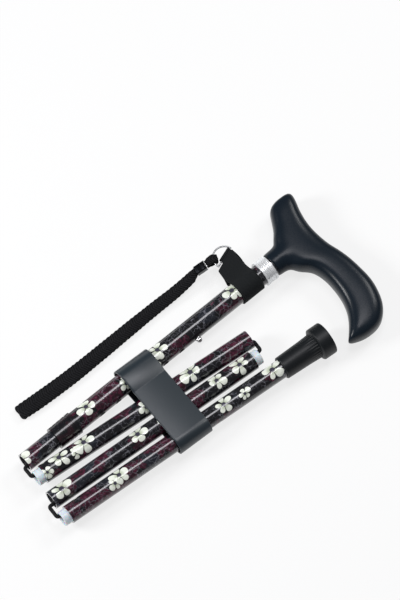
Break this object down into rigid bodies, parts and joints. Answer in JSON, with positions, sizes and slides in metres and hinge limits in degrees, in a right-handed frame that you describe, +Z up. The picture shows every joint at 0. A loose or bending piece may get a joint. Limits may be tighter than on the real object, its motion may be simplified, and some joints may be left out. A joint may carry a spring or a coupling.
{
  "type": "folding cane",
  "caption": "Derby-handled walking cane of printed tubes on an elastic cord, lying folded under a springy clip, with a height button, lock collar, rubber ferrule and wrist strap.",
  "frame": {"origin": "under the middle of the folded cane, on the surface that it lies on", "axes": "+X along the lowest section towards the foot and the handle, +Y from the lowest section to the handle section, +Z up"},
  "size_m": [0.3302, 0.1388, 0.0285],
  "materials": {
    "handle_black": "satin moulded",
    "bright_metal": "polished",
    "printed_tube": "floral print under clear gloss",
    "printed_plastic": "floral print under clear gloss",
    "steel": "bright",
    "inner_plastic": "moulded",
    "white_plastic": "milky",
    "elastic": "braided",
    "ferrule_rubber": "matt",
    "clip_grey": "satin moulded",
    "webbing": "woven",
    "braid": "flat braid"
  },
  "bodies": {
    "upper": {"handle": "handle_black", "handle_stud": "steel", "handle_plug": "inner_plastic", "handle_pin": "steel", "collar": "bright_metal", "upper_tube": "printed_tube", "collet": "inner_plastic"},
    "lock": {"lock_collar": "printed_plastic"},
    "adjuster": {"adjuster_tube": "printed_tube", "leaf_spring": "steel", "cord_a": "elastic", "anchor_top": "inner_plastic", "stop_top": "steel"},
    "button": {"button": "steel"},
    "link_1": {"cord_bend_1": "elastic"},
    "section_b": {"tube_b": "printed_tube", "spigot_b": "white_plastic", "cord_b": "elastic"},
    "link_2": {"cord_bend_2": "elastic"},
    "section_c": {"tube_c": "printed_tube", "spigot_c": "white_plastic", "cord_c": "elastic"},
    "link_3": {"cord_bend_3": "elastic"},
    "section_d": {"tube_d": "printed_tube", "spigot_d": "white_plastic", "cord_d": "elastic", "anchor_low": "inner_plastic", "stop_low": "steel", "ferrule": "ferrule_rubber", "ferrule_washer": "steel"},
    "clip": {"clip": "clip_grey"},
    "band": {"strap_band": "webbing"},
    "ring": {"strap_ring": "bright_metal"},
    "strap": {"wrist_strap": "braid", "strap_sleeve": "bright_metal"}
  },
  "joints": [
    {"name": "height_slide", "type": "slide", "parent": "upper", "child": "adjuster", "axis": [-0.9971, -0.0758, 0], "range_m": [0, 0.102]},
    {"name": "button_press", "type": "slide", "parent": "adjuster", "child": "button", "axis": [-0.0758, 0.9971, 0], "range_m": [0, 0.0055], "stiffness_N_per_m": 800, "deforming": ["leaf_spring"]},
    {"name": "lock_turn", "type": "hinge", "parent": "upper", "child": "lock", "pos_m": [-0.15686, 0.00675, 0.01425], "axis": [0.9971, 0.0758, 0], "range_deg": [0, 120]},
    {"name": "fold_1", "type": "hinge", "parent": "adjuster", "child": "link_1", "pos_m": [-0.15712, -0.00164, 0.01425], "axis": [0, 0, -1], "range_deg": [0, 174.45], "deforming": ["cord_bend_1"]},
    {"name": "seat_1", "type": "slide", "parent": "link_1", "child": "section_b", "axis": [-0.9998, 0.0209, 0], "range_m": [0, 0.00675]},
    {"name": "fold_2", "type": "hinge", "parent": "section_b", "child": "link_2", "pos_m": [0.05308, -0.0227, 0.01425], "axis": [0, 0, 1], "range_deg": [0, 178.4], "deforming": ["cord_bend_2"]},
    {"name": "seat_2", "type": "slide", "parent": "link_2", "child": "section_c", "axis": [1, 0.007, 0], "range_m": [0, 0.00675]},
    {"name": "fold_3", "type": "hinge", "parent": "section_c", "child": "link_3", "pos_m": [-0.16029, -0.04159, 0.01425], "axis": [0, 0, -1], "range_deg": [0, 179.6], "deforming": ["cord_bend_3"]},
    {"name": "seat_3", "type": "slide", "parent": "link_3", "child": "section_d", "axis": [-1, 0, 0], "range_m": [0, 0.00675]},
    {"name": "clip_slide", "type": "slide", "parent": "upper", "child": "clip", "axis": [-0.9993, -0.038, 0], "range_m": [0, 0.16], "deforming": ["clip"]},
    {"name": "band_turn", "type": "hinge", "parent": "upper", "child": "band", "pos_m": [0.08016, 0.02478, 0.01425], "axis": [0.9971, 0.0758, 0], "range_deg": [0, 90]},
    {"name": "ring_swing", "type": "hinge", "parent": "band", "child": "ring", "pos_m": [0.08065, 0.05576, 0.01425], "axis": [0.9215, 0.3883, 0], "range_deg": [0, 45]},
    {"name": "strap_swing", "type": "hinge", "parent": "ring", "child": "strap", "pos_m": [0.07176, 0.05938, 0.01425], "axis": [0.377, 0.9262, 0], "range_deg": [0, 80]}
  ],
  "couplings": [
    {"joint": "fold_2", "follows": "fold_1", "ratio": 1.0226},
    {"joint": "fold_3", "follows": "fold_1", "ratio": 1.0295},
    {"joint": "seat_2", "follows": "seat_1", "ratio": 1},
    {"joint": "seat_3", "follows": "seat_1", "ratio": 1}
  ]
}
